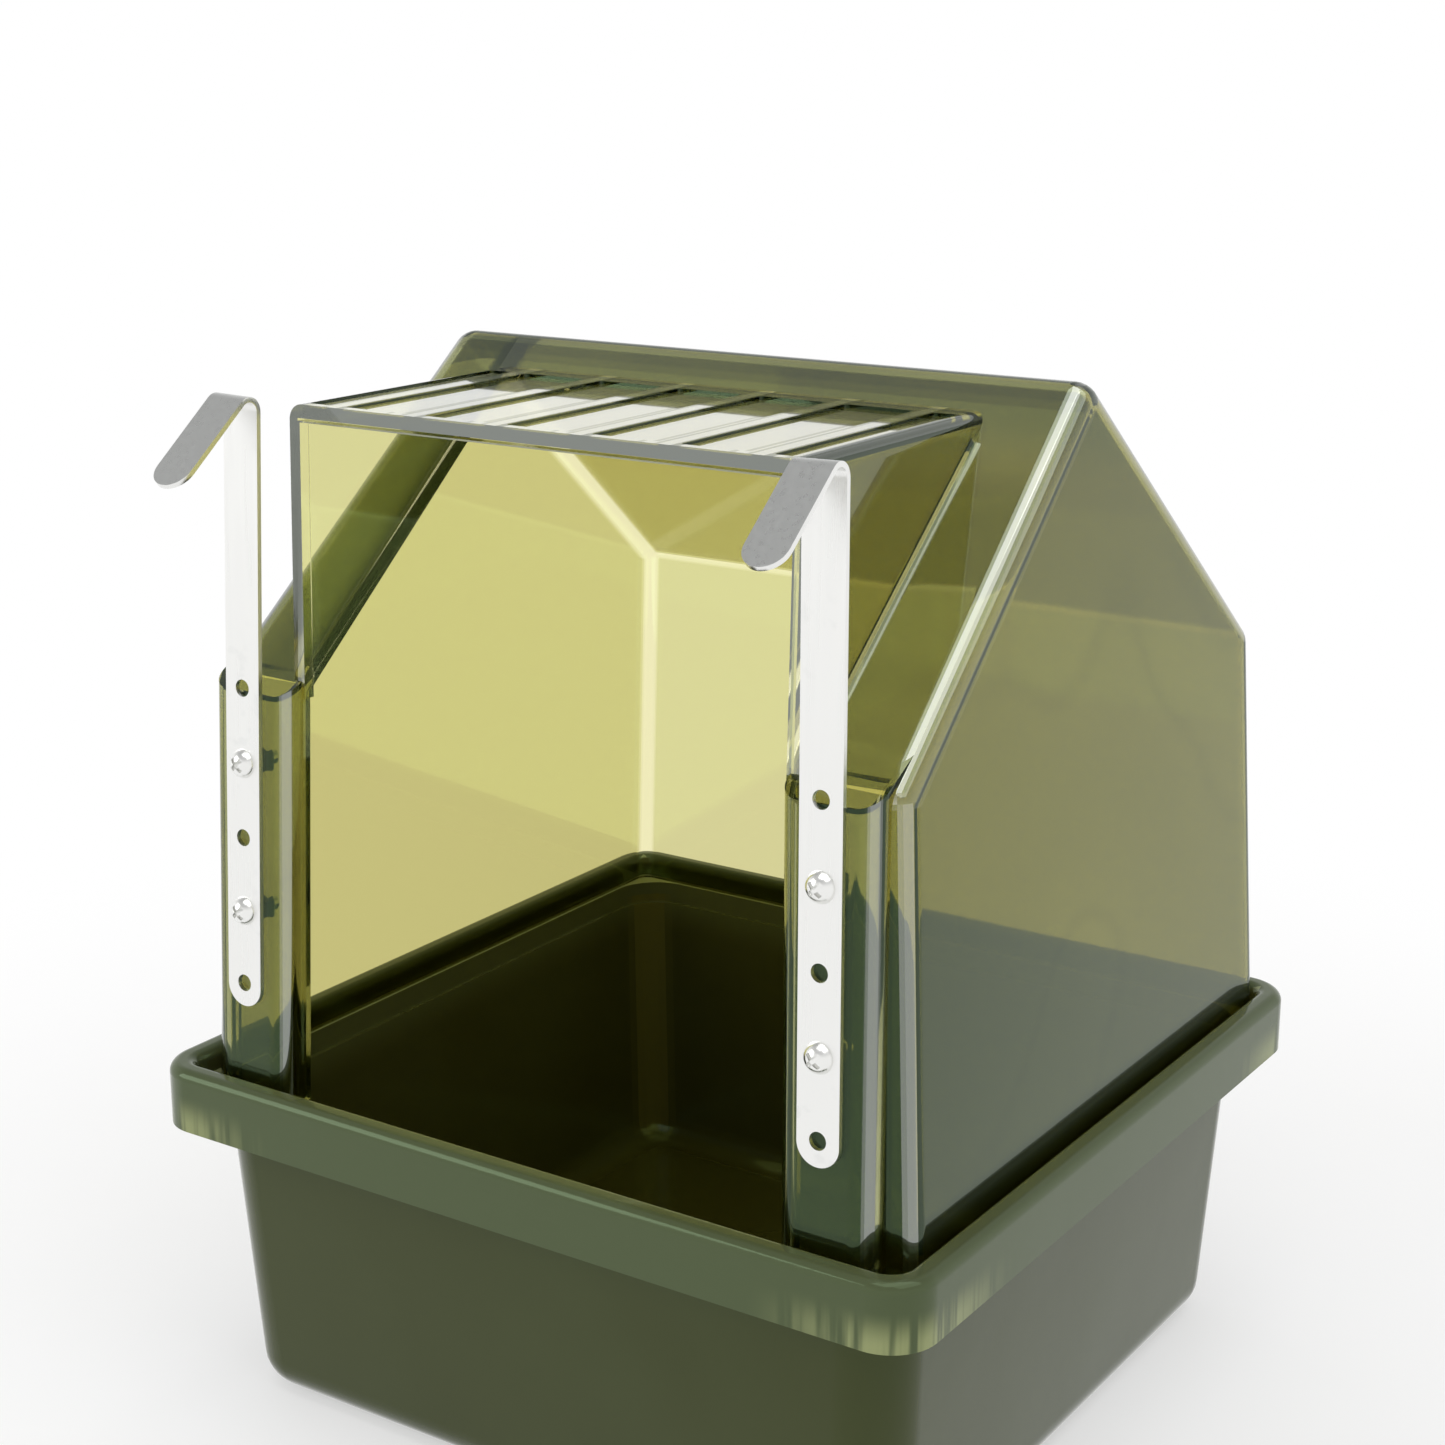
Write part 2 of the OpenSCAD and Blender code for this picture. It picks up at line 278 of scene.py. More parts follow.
    def object_place(self) -> Socket:
        """The shaded point's place in Object coordinates."""
        return self.add("ShaderNodeTexCoord").outputs["Object"]


@dataclass(frozen=True)
class Surface:
    """Where a shaded point lies, in metres, and which way its face points."""

    place: Socket
    x: Socket
    y: Socket
    z: Socket
    normal: Socket
    facing_x: Socket
    facing_y: Socket
    facing_z: Socket
    backfacing: Socket

    @classmethod
    def read(cls, graph: Graph) -> Surface:
        """Add the nodes that read the surface.

        Args:
            graph: The material's graph.

        Returns:
            The surface's sockets.
        """
        place = graph.object_place()
        geometry = graph.add("ShaderNodeNewGeometry")
        normal = geometry.outputs["True Normal"]
        behind = geometry.outputs["Backfacing"]
        return cls(place, *graph.split(place), normal, *graph.split(normal), behind)


def new_group(name: str, inputs: dict[str, float], outputs: tuple[str, ...]) -> Graph:
    """Start a shader node group.

    Args:
        name: The group's name.
        inputs: Names and starting values of its number inputs.
        outputs: Names of its number outputs.

    Returns:
        The group's graph.
    """
    tree = bpy.data.node_groups.new(name, "ShaderNodeTree")
    for label, value in inputs.items():
        socket = tree.interface.new_socket(label, in_out="INPUT", socket_type="NodeSocketFloat")
        socket.default_value = value
    for label in outputs:
        tree.interface.new_socket(label, in_out="OUTPUT", socket_type="NodeSocketFloat")
    return Graph(tree)


@dataclass
class Effects:
    """Node groups that more than one piece uses, each built once."""

    edge_angle: float = math.radians(30)
    fine_scale: float = 9.0
    scuff_turn: Triple = (0.4, 0.7, 0.3)
    scuff_stretch: Triple = (1.0, 0.08, 1.0)
    patch_scale: float = 0.08
    scratch_span: Span = (0.58, 0.72)
    patch_span: Span = (0.45, 0.7)
    flow: bpy.types.NodeTree = field(init=False)
    scuffs: bpy.types.NodeTree = field(init=False)
    smooth: bpy.types.NodeTree = field(init=False)

    def __post_init__(self) -> None:
        """Build the groups."""
        self.flow = self._build_flow()
        self.scuffs = self._build_scuffs()
        self.smooth = self._build_smooth()

    def _build_flow(self) -> bpy.types.NodeTree:
        """Soft unevenness of a moulded surface.

        Returns:
            A group that gives slow noise as a shade, and the same with finer noise as a height.
        """
        graph = new_group("moulding_flow", {"Size": 40.0, "Fine": 0.15}, ("Height", "Shade"))
        given = graph.add("NodeGroupInput").outputs
        results = graph.add("NodeGroupOutput").inputs
        place = graph.object_place()
        slow = graph.noise(place, given["Size"], detail=1.0)
        fine = graph.noise(place, graph.math("MULTIPLY", given["Size"], self.fine_scale))
        small = graph.math("MULTIPLY", fine, given["Fine"])
        graph.link(graph.math("ADD", slow, small), results["Height"])
        graph.link(slow, results["Shade"])
        return graph.tree

    def _build_scuffs(self) -> bpy.types.NodeTree:
        """Fine scratches within rubbed patches.

        Returns:
            A group that gives a mask, 0 on clean surface and the share on a scratch.
        """
        graph = new_group("fine_scuffs", {"Size": 300.0, "Share": 0.3}, ("Mask",))
        given = graph.add("NodeGroupInput").outputs
        results = graph.add("NodeGroupOutput").inputs
        place = graph.object_place()
        along = graph.stretch(place, self.scuff_stretch, self.scuff_turn)
        scratches = graph.ramp(graph.noise(along, given["Size"]), self.scratch_span)
        patch_size = graph.math("MULTIPLY", given["Size"], self.patch_scale)
        patches = graph.ramp(graph.noise(place, patch_size), self.patch_span)
        graph.link(graph.both(scratches, patches, given["Share"]), results["Mask"])
        return graph.tree

    def _build_smooth(self) -> bpy.types.NodeTree:
        """Smooth shading with hard edges.

        Returns:
            A geometry group that shades faces smoothly between edges sharper than the edge angle.
        """
        tree = bpy.data.node_groups.new("smooth_between_edges", "GeometryNodeTree")
        for way in ("INPUT", "OUTPUT"):
            tree.interface.new_socket("Geometry", in_out=way, socket_type="NodeSocketGeometry")
        graph = Graph(tree)
        start = graph.add("NodeGroupInput")
        end = graph.add("NodeGroupOutput")
        faces = graph.add("GeometryNodeSetShadeSmooth", domain="FACE")
        edges = graph.add("GeometryNodeSetShadeSmooth", domain="EDGE")
        edges.inputs["Shade Smooth"].default_value = False
        angles = graph.add("GeometryNodeInputMeshEdgeAngle")
        sharp = graph.over(angles.outputs["Unsigned Angle"], self.edge_angle)
        graph.link(start.outputs[0], faces.inputs["Geometry"])
        graph.link(faces.outputs["Geometry"], edges.inputs["Geometry"])
        graph.link(sharp, edges.inputs["Selection"])
        graph.link(edges.outputs["Geometry"], end.inputs[0])
        return tree


class Finish:
    """Common start of every finish: a material with a Principled shader."""

    @staticmethod
    def start(name: str) -> tuple[bpy.types.Material, Graph, bpy.types.Node, bpy.types.Node]:
        """Make a material with a Principled shader on its surface.

        Args:
            name: The material's name.

        Returns:
            The material, its graph, the Principled shader and the output node.
        """
        material = bpy.data.materials.new(name)
        material.use_nodes = True
        nodes = material.node_tree.nodes
        shader = next(n for n in nodes if n.type == "BSDF_PRINCIPLED")
        output = next(n for n in nodes if n.type == "OUTPUT_MATERIAL")
        return material, Graph(material.node_tree), shader, output

    @staticmethod
    def bump(graph: Graph, height: Socket, shader: bpy.types.Node, depth: float) -> None:
        """Raise a height on the shader's normal.

        Args:
            graph: The material's graph.
            height: Socket of the height.
            shader: The Principled shader.
            depth: Depth in metres of a height of 1.
        """
        node = graph.add("ShaderNodeBump")
        set_inputs(node, {"Strength": 1.0, "Distance": depth})
        graph.link(height, node.inputs["Height"])
        graph.link(node.outputs["Normal"], shader.inputs["Normal"])

    @staticmethod
    def blend(graph: Graph, factor: Socket, shaders: tuple[Socket, Socket], output: bpy.types.Node) -> None:
        """Put a mix of two shaders on the surface.

        Args:
            graph: The material's graph.
            factor: Share of the second shader.
            shaders: Sockets of the two shaders.
            output: The material's output.
        """
        mixer = graph.add("ShaderNodeMixShader")
        graph.link(factor, mixer.inputs["Fac"])
        for place, shader in enumerate(shaders, start=1):
            graph.link(shader, mixer.inputs[place])
        graph.link(mixer.outputs["Shader"], output.inputs["Surface"])


@dataclass(frozen=True)
class HousePlaces:
    """Where the house's faces lie, in metres, so that its finish can tell them apart."""

    middle: Triple = (0.0, 0.0025, 0.130)
    # The front wall leans back as it rises, and the posts before it lean in
    wall_lean: float = 0.0367
    wall_outside: float = -0.0770
    wall_inside: float = -0.0740
    post_lean: float = 0.0227
    post_aside: float = 0.06857
    post_depth: float = -0.0775
    post_top: float = 0.160
    # The roof, its ridge where the plastic is solid, and the strip of roof on the left that gets painted
    # shade
    roof_pitch: float = math.radians(40)
    roof_distance: float = 0.1635
    ceiling_fade: Span = (0.190, 0.206)
    ridge_fade: Span = (0.192, 0.206)
    ridge_solid: Span = (0.2106, 0.2114)
    strip_fade: Span = (-0.084, -0.064)
    # The dormer's cheeks, with the creases at their feet, and the side walls beyond them
    cheek_aside: float = 0.0567
    cheek_edge: float = 0.0535
    cheek_foot: float = 0.155
    crease_foot: float = 0.156
    crease_width: Span = (0.0026, 0.0045)
    crease_rise: Span = (0.007, -0.001)
    crease_sink: float = -0.005
    side_walls: float = 0.062
    wall_depth: Span = (-0.02, 0.075)
    # The dormer's top: front bar, ribs, sunk panels and border
    top_edge: float = 0.200
    bar_foot: float = 0.203
    bar_back: float = -0.05
    under_panels: float = 0.2066
    panel_level: float = 0.2070
    roof_foot: float = -0.005
    rib_pitch: float = 18.8 * MM
    rib_width: float = 4.0 * MM
    panel_ends: Span = (-0.034, -0.014)
    border: Span = (0.0515, 0.0530)


class HouseMasks:
    """Masks that tell the house's faces apart, each made once. Facing runs from -1 to 1."""

    LEVEL = 0.97
    AHEAD = -0.9
    ACROSS = 0.7
    PLUMB = 0.2
    TO_ENTRANCE = -0.8
    SLOPE = ((0.55, 0.65), (0.90, 0.95))
    CEILING = (-0.5, -0.7)
    CORNERS = ((0.10, 0.35), (0.93, 0.99))
    EAVES = ((0.10, 0.25), (0.55, 0.74))
    GABLE_LIGHT = ((0.12, 0.30), (0.45, 0.62))
    CORNER_LIGHT = ((0.50, 0.70), (0.88, 0.97))
    # Middle and half width of the painted shade lines along a rib, as shares of the pitch, and their
    # strength
    RIB_LINES = ((0.125, 0.05, 1.0), (-0.085, 0.025, 0.7), (-0.27, 0.03, 0.6))
    LINE_BLUR = 0.01
    BORDER_STRENGTH = 0.85
    END_STRENGTH = 0.9
    # Share of painted light on the cheeks' front edges
    EDGE_CLEAR = 0.95

    def __init__(self, graph: Graph, places: HousePlaces) -> None:
        """Read the surface.

        Args:
            graph: The material's graph.
            places: Where the house's faces lie.
        """
        self.graph = graph
        self.places = places
        self.at = Surface.read(graph)
        self.aside = graph.size(self.at.x)
        self.sideways = graph.size(self.at.facing_x)
        self.upward = graph.size(self.at.facing_z)

    @cached_property
    def front(self) -> Socket:
        """1 where a face is met from its front."""
        return self.graph.rest(self.at.backfacing)

    @cached_property
    def depth(self) -> Socket:
        """Distance behind the middle plane, without the front wall's lean."""
        return self.graph.line(self.at.z, -self.places.wall_lean, self.at.y)

    @cached_property
    def post_height(self) -> Socket:
        """1 at the height of the posts."""
        return self.graph.under(self.at.z, self.places.post_top)

    @cached_property
    def before_wall(self) -> Socket:
        """1 on all that stands before the front wall."""
        return self.graph.both(self.post_height, self.graph.under(self.depth, self.places.wall_outside))

    @cached_property
    def post(self) -> Socket:
        """The posts' outer faces.

        Returns:
            Socket of a mask, 1 where a post faces away from its own middle or towards the entrance.
        """
        graph, at, places = self.graph, self.at, self.places
        outwards = graph.both(at.facing_x, graph.math("SIGN", at.x))
        across = graph.math("SUBTRACT", self.aside, graph.line(at.z, -places.post_lean, places.post_aside))
        behind = graph.math("SUBTRACT", self.depth, places.post_depth)
        away = graph.math("MULTIPLY_ADD", behind, at.facing_y, graph.both(across, outwards))
        outer = graph.both(self.before_wall, graph.over(away, 0.0))
        to_entrance = graph.both(graph.under(outwards, self.TO_ENTRANCE), graph.under(across, 0.0))
        in_wall = graph.both(self.post_height, graph.under(self.depth, places.wall_inside))
        return graph.either(outer, graph.both(to_entrance, in_wall))

    @cached_property
    def skin(self) -> Socket:
        """The house's outside.

        Returns:
            Socket of a mask, 1 on outer faces met from outside and low on the cheeks' front edges, where
            the pale inside tint gives painted light.
        """
        graph, at, places = self.graph, self.at, self.places
        outward = graph.vector("DOT_PRODUCT", at.normal, graph.vector("SUBTRACT", at.place, places.middle))
        outer = graph.both(graph.over(outward, 0.0), graph.rest(self.before_wall))
        outer = graph.either(outer, self.post, graph.over(at.z, places.under_panels))
        return graph.both(outer, self.front, graph.rest(self.cheek_edge, self.EDGE_CLEAR))

    @cached_property
    def ahead(self) -> Socket:
        """1 on faces that point to the front."""
        return self.graph.under(self.at.facing_y, self.AHEAD)

    @cached_property
    def across(self) -> Socket:
        """1 on faces that point to a side."""
        return self.graph.over(self.sideways, self.ACROSS)

    @cached_property
    def by_walls(self) -> Socket:
        """1 beyond the dormer, where the side walls are."""
        return self.graph.over(self.aside, self.places.side_walls)

    @cached_property
    def side_walls(self) -> Socket:
        """1 on the side walls."""
        return self.graph.both(self.across, self.by_walls)

    @cached_property
    def cheeks(self) -> Socket:
        """1 on the dormer's cheeks."""
        return self.graph.both(self.across, self.graph.rest(self.by_walls))

    @cached_property
    def cheek_edge(self) -> Socket:
        """1 on the front edges of the dormer's cheeks."""
        beyond = self.graph.over(self.aside, self.places.cheek_edge)
        return self.graph.both(beyond, self.ahead, self.graph.over(self.at.z, self.places.cheek_foot))

    @cached_property
    def top(self) -> Socket:
        """The dormer's level top.

        Returns:
            Socket of a mask, 1 on the ribs and the sunk panels before the roof.
        """
        graph, at, places = self.graph, self.at, self.places
        level = graph.over(at.facing_z, self.LEVEL)
        high = graph.over(at.z, places.panel_level)
        return graph.both(level, high, graph.under(at.y, places.roof_foot), self.front)

    @cached_property
    def bar(self) -> Socket:
        """1 on the front of the bar over the entrance."""
        high = self.graph.over(self.at.z, self.places.bar_foot)
        return self.graph.both(self.ahead, high, self.graph.under(self.at.y, self.places.bar_back))

    @cached_property
    def top_edge(self) -> Socket:
        """1 on the upper edges of the dormer."""
        high = self.graph.over(self.at.z, self.places.top_edge)
        return self.graph.both(high, self.graph.rest(self.by_walls))

    @cached_property
    def rib_lines(self) -> Socket:
        """Painted shade along the ribs' sides, and a painted dark reflection at the panels' ends by the
        roof and along the top's border.

        Returns:
            Socket of a mask, up to 1 on a line and 0 on the panels between.
        """
        graph, at, places = self.graph, self.at, self.places
        turn = graph.math("FRACT", graph.math("DIVIDE", at.x, places.rib_pitch))
        offset = graph.math("SUBTRACT", turn, 0.5)
        masks = [graph.ramp(self.aside, places.border, (0.0, self.BORDER_STRENGTH))]
        for middle, half, strength in self.RIB_LINES:
            away = graph.size(graph.math("SUBTRACT", offset, middle))
            span = (half - self.LINE_BLUR, half + self.LINE_BLUR)
            masks.append(graph.ramp(away, span, (strength, 0.0)))
        between = graph.over(graph.size(offset), places.rib_width / places.rib_pitch / 2)
        masks.append(graph.both(between, graph.ramp(at.y, places.panel_ends, (0.0, self.END_STRENGTH))))
        return graph.either(*masks)

    @cached_property
    def slope(self) -> Socket:
        """1 on faces that tilt up as the roof does."""
        return self.graph.band(self.at.facing_z, *self.SLOPE)

    @cached_property
    def ridge(self) -> Socket:
        """1 on the slopes near the ridge."""
        return self.graph.both(self.slope, self.graph.ramp(self.at.z, self.places.ridge_fade))

    @cached_property
    def ceiling(self) -> Socket:
        """1 on faces that tilt down as the roof's underside does."""
        return self.graph.ramp(self.at.facing_z, self.CEILING)

    @cached_property
    def left_strip(self) -> Socket:
        """1 on the strip of roof left of the dormer, fading to the gable."""
        outside = self.graph.under(self.at.x, -self.places.cheek_aside)
        return self.graph.both(outside, self.graph.ramp(self.at.x, self.places.strip_fade))

    @cached_property
    def crease(self) -> Socket:
        """The feet of the dormer's cheeks, where they run into the roof.

        Returns:
            Socket of a mask, 1 at the roof and 0 a little above it.
        """
        graph, at, places = self.graph, self.at, self.places
        above = graph.line(at.z, math.cos(places.roof_pitch), -places.roof_distance)
        above = graph.line(at.y, -math.sin(places.roof_pitch), above)
        from_cheek = graph.size(graph.math("SUBTRACT", self.aside, places.cheek_aside))
        near = graph.ramp(from_cheek, places.crease_width, FALLING)
        high = graph.over(at.z, places.crease_foot)
        sunk = graph.over(above, places.crease_sink)
        return graph.both(near, high, graph.ramp(above, places.crease_rise), sunk)

    @cached_property
    def eaves(self) -> Socket:
        """1 on the rounded edges at the eaves."""
        return self.graph.band(self.upward, *self.EAVES)

    @cached_property
    def rounded(self) -> Socket:
        """1 on rounded corners and at the eaves."""
        return self.graph.either(self.graph.band(self.sideways, *self.CORNERS), self.eaves)

    @cached_property
    def plumb(self) -> Socket:
        """1 on faces that stand upright."""
        return self.graph.under(self.upward, self.PLUMB)

    @cached_property
    def gable_light(self) -> Socket:
        """1 on the line of light along a gable's rounded edge."""
        halfway = self.graph.band(self.sideways, *self.GABLE_LIGHT)
        return self.graph.both(halfway, self.graph.rest(self.plumb))

    @cached_property
    def corner_light(self) -> Socket:
        """1 on the line of light down an upright rounded corner."""
        return self.graph.both(self.graph.band(self.sideways, *self.CORNER_LIGHT), self.plumb)


@dataclass(frozen=True)
class HouseCoat:
    """Weights of the clear coat that gives the house its lights, by place."""

    plain: float = 0.01
    roof: float = 0.12
    left_strip_loss: float = 0.11
    ridge: float = 0.14
    cheeks: float = 0.08
    gable_light: float = 0.7
    corner_light: float = 0.62
    eaves: float = 0.3
    crease_loss: float = 0.7
    top_edge_loss: float = 0.9
    panels: float = 0.93
    bar: float = 0.58
    cheek_edge: float = 0.55
    ior: float = 4.0
    roughness: float = 0.03

    def weight(self, graph: Graph, masks: HouseMasks) -> Socket:
        """Work out the coat's weight.

        Args:
            graph: The material's graph.
            masks: Masks of the house's faces.

        Returns:
            Socket of the weight.
        """
        roof = graph.both(masks.slope, graph.line(masks.left_strip, -self.left_strip_loss, self.roof))
        broad = graph.math("ADD", roof, self.plain)
        broad = graph.line(masks.ridge, self.ridge, broad)
        broad = graph.line(masks.cheeks, self.cheeks, broad)
        lights = graph.either(
            graph.both(masks.gable_light, self.gable_light),
            graph.both(masks.corner_light, self.corner_light),
            graph.both(masks.eaves, self.eaves),
        )
        lights = graph.both(lights, graph.rest(masks.crease, self.crease_loss))
        lights = graph.both(lights, graph.rest(masks.top_edge, self.top_edge_loss))
        panels = graph.line(masks.rib_lines, -self.panels, self.panels)
        return graph.either(
            graph.both(masks.skin, graph.either(broad, lights)),
            graph.both(masks.top, panels),
            graph.both(masks.bar, self.bar),
            graph.both(masks.cheek_edge, self.cheek_edge),
        )


@dataclass(frozen=True)
class SmokedPlastic(Finish):
    """Clear smoked olive plastic in a lit and a shaded copy: painted shade makes it dark seen from outside,
    painted light makes it light olive yellow seen from inside.
    """

    inside: Colour = (0.72, 0.71, 0.33)
    # Painted shade on the side walls seen from inside
    side_wall: Colour = (0.628, 0.602, 0.225)
    outside: Colour = (0.078, 0.068, 0.0085)
    # Painted light on the roof slopes, greener and paler than the walls
    slope: Colour = (0.052, 0.055, 0.014)
    # Painted shade on the roof strip left of the dormer and in the left creases
    deep: Colour = (0.010, 0.012, 0.004)
    # Painted light on the posts' outer faces, paler than the walls
    post: Colour = (0.090, 0.092, 0.030)
    # Painted shade under the roof, darker still near the ridge
    ceiling: Colour = (0.42, 0.38, 0.095)
    ridge: Colour = (0.25, 0.26, 0.09)
    # Near white: the panels' white reflection is partly the coat's and partly painted reflection in this
    # tint
    panel: Colour = (0.93, 0.95, 0.97)
    # Painted highlight on rounded corners and eaves seen from inside
    corner: Colour = (0.93, 0.92, 0.52)
    sheen: Colour = (0.82, 1.30, 0.68)
    lamp: Colour = (0.62, 0.58, 0.24)
    gloss: float = 0.03
    wave_depth: float = 0.12 * MM
    wave_size: float = 12.0
    wave_fine: float = 0.05
    # Share by which a place is paler or darker than its tint: painted light on the slopes and near the
    # ridge, painted shade at the back of the walls, and darker where the plastic is solid
    ridge_gain: float = 3.4
    slope_gain: float = 0.6
    wall_gain: Span = (0.05, -0.16)
    solid_loss: float = 0.5
    # Slow unevenness, with thin darker wavy lines where the noise is about its average
    shade_span: Span = (0.3, 0.7)
    shade_gain: Span = (0.85, 1.15)
    flow_line: Span = (0.0, 0.03)
    flow_gain: Span = (0.84, 1.0)
    places: HousePlaces = field(default_factory=HousePlaces)
    coat: HouseCoat = field(default_factory=HouseCoat)

    def make(self, effects: Effects) -> bpy.types.Material:
        """Build the material.

        Args:
            effects: Shared node groups.

        Returns:
            The material.
        """
        material, graph, shader, output = self.start("smoked_plastic")
        masks = HouseMasks(graph, self.places)
        flow = graph.place(effects.flow, {"Size": self.wave_size, "Fine": self.wave_fine})
        shading = self.shading(graph, masks, flow.outputs["Shade"])
        outer = graph.scale(self.from_outside(graph, masks), shading)
        # Painted shade on faces seen from outside, painted light on faces seen from inside
        tint = graph.mix(masks.skin, self.from_inside(graph, masks), outer)
        # The dormer's top: painted reflection on the panels, crossed by the painted dark lines
        tint = graph.mix(masks.top, tint, graph.mix(masks.rib_lines, self.panel, self.slope))
        graph.link(tint, shader.inputs["Base Color"])
        graph.link(self.coat.weight(graph, masks), shader.inputs["Coat Weight"])
        set_inputs(
            shader,
            {
                "Coat IOR": self.coat.ior,
                "Coat Roughness": self.coat.roughness,
                "Specular Tint": rgba(self.sheen),
                "Roughness": self.gloss,
                "IOR": PLASTIC_IOR,
                "Transmission Weight": 1.0,
            },
        )
        self.bump(graph, flow.outputs["Height"], shader, self.wave_depth)
        self.let_lamps_through(graph, shader, output)
        return material

    def from_inside(self, graph: Graph, masks: HouseMasks) -> Socket:
        """Tint of the plastic where it is seen from inside, with painted shade on the side walls, under the
        roof and in the left creases, and painted highlights on rounded corners.

        Args:
            graph: The material's graph.
            masks: Masks of the house's faces.

        Returns:
            Socket of the tint.
        """
        # Painted shade on the roof's underside, darker near the ridge
        near_ridge = graph.ramp(masks.at.z, self.places.ceiling_fade)
        roof = graph.mix(near_ridge, self.ceiling, self.ridge)
        # Painted shade on the side walls
        tint = graph.mix(masks.side_walls, self.inside, self.side_wall)
        tint = graph.mix(masks.ceiling, tint, roof)
        # Painted highlight on the rounded corners and at the eaves
        tint = graph.mix(masks.rounded, tint, self.corner)
        # Painted shade in the creases at the feet of the left cheek
        left = graph.under(masks.at.x, 0.0)
        return graph.mix(graph.both(masks.crease, left), tint, self.deep)

    def from_outside(self, graph: Graph, masks: HouseMasks) -> Socket:
        """Tint of the plastic where it is seen from outside, with painted light on the slopes and the posts
        and painted shade on the roof strip left of the dormer.

        Args:
            graph: The material's graph.
            masks: Masks of the house's faces.

        Returns:
            Socket of the tint.
        """
        # Painted shade on the roof strip left of the dormer
        roof = graph.mix(masks.left_strip, self.slope, self.deep)
        tint = graph.mix(masks.slope, self.outside, roof)
        # Painted light on the posts
        return graph.mix(masks.post, tint, self.post)

    def shading(self, graph: Graph, masks: HouseMasks, shade: Socket) -> Socket:
        """Factor on the outer tint: uneven, with painted light on the slopes that grows paler at the ridge,
        and painted shade that makes the back of the walls darker.

        Args:
            graph: The material's graph.
            masks: Masks of the house's faces.
            shade: Socket of slow noise.

        Returns:
            Socket of the factor.
        """
        from_line = graph.size(graph.math("SUBTRACT", shade, 0.5))
        uneven = graph.ramp(shade, self.shade_span, self.shade_gain)
        lines = graph.ramp(from_line, self.flow_line, self.flow_gain)
        # Painted light on the slopes, paler still near the ridge, and painted shade at the back of the
        # walls
        graded = graph.line(masks.slope, self.slope_gain, 1.0)
        graded = graph.line(masks.ridge, self.ridge_gain, graded)
        backwards = graph.ramp(masks.at.y, self.places.wall_depth, self.wall_gain)
        graded = graph.math("MULTIPLY_ADD", graph.rest(masks.slope), backwards, graded)
        solid = graph.ramp(masks.at.z, self.places.ridge_solid, (0.0, self.solid_loss))
        thick = graph.rest(graph.both(masks.slope, solid))
        return graph.both(uneven, lines, graded, thick)

    def let_lamps_through(self, graph: Graph, shader: bpy.types.Node, output: bpy.types.Node) -> None:
        """Pass lamp light, tinted, so that what is inside is lit.

        Args:
            graph: The material's graph.
            shader: The Principled shader.
            output: The material's output.
        """
        clear = graph.add("ShaderNodeBsdfTransparent")
        clear.inputs["Color"].default_value = rgba(self.lamp)
        from_lamp = graph.add("ShaderNodeLightPath").outputs["Is Shadow Ray"]
        self.blend(graph, from_lamp, (shader.outputs["BSDF"], clear.outputs["BSDF"]), output)


